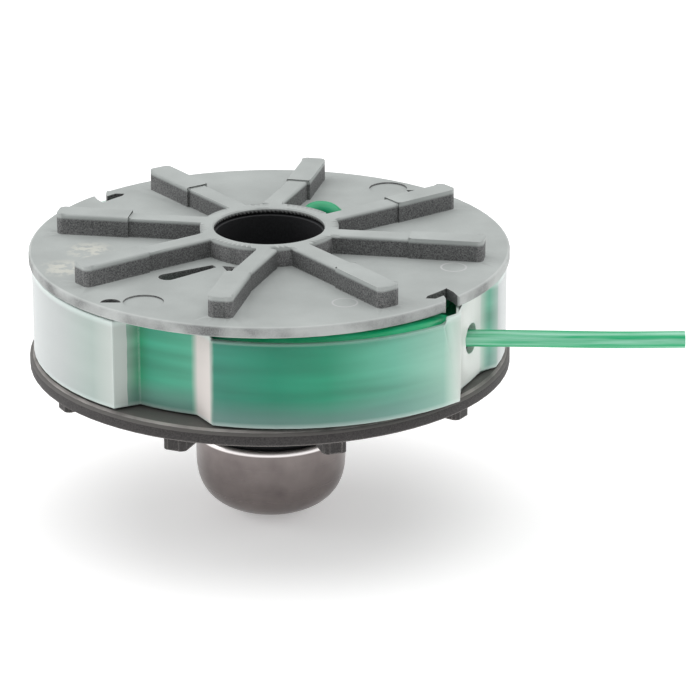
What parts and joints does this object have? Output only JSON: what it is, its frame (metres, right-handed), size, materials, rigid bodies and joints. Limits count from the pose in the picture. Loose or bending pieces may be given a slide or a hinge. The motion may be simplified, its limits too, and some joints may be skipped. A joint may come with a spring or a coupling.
{
  "type": "trimmer line spool cassette",
  "caption": "Ribbed two-flange line spool for a tap-feed grass trimmer, with a translucent retaining band, free line end and sprung domed bump knob.",
  "frame": {"origin": "centre of the spindle bore at the top face of the hub collar", "axes": "+Z along the spool axis, away from the bump knob; the free line end leaves towards +X"},
  "size_m": [0.0919, 0.0684, 0.0427],
  "materials": {
    "light_grey_nylon": "satin moulded nylon, fine grain on the rib sides",
    "dark_grey_nylon": "dull moulded nylon, rubbed at the edges",
    "milky_band": "translucent, softly glossy",
    "green_line": "smooth extruded nylon",
    "satin_steel": "satin, bright at the rim",
    "spring_steel": "drawn wire"
  },
  "bodies": {
    "spool": {"upper_flange": "light_grey_nylon", "winding_core": "dark_grey_nylon", "lower_flange": "dark_grey_nylon", "spring_seat": "spring_steel", "return_spring": "spring_steel", "line_winding": "green_line", "line_anchor": "green_line"},
    "band": {"retaining_band": "milky_band", "line_tail": "green_line"},
    "knob": {"knob_carrier": "dark_grey_nylon", "bump_cap": "satin_steel"}
  },
  "joints": [
    {"name": "band_spin", "type": "hinge", "parent": "spool", "child": "band", "pos_m": [0, 0, -0.01095], "axis": [0, 0, 1], "continuous": true},
    {"name": "knob_bump", "type": "slide", "parent": "spool", "child": "knob", "axis": [0, 0, 1], "range_m": [0, 0.004], "stiffness_N_per_m": 800, "springref_m": -0.004, "deforming": ["return_spring"]}
  ]
}
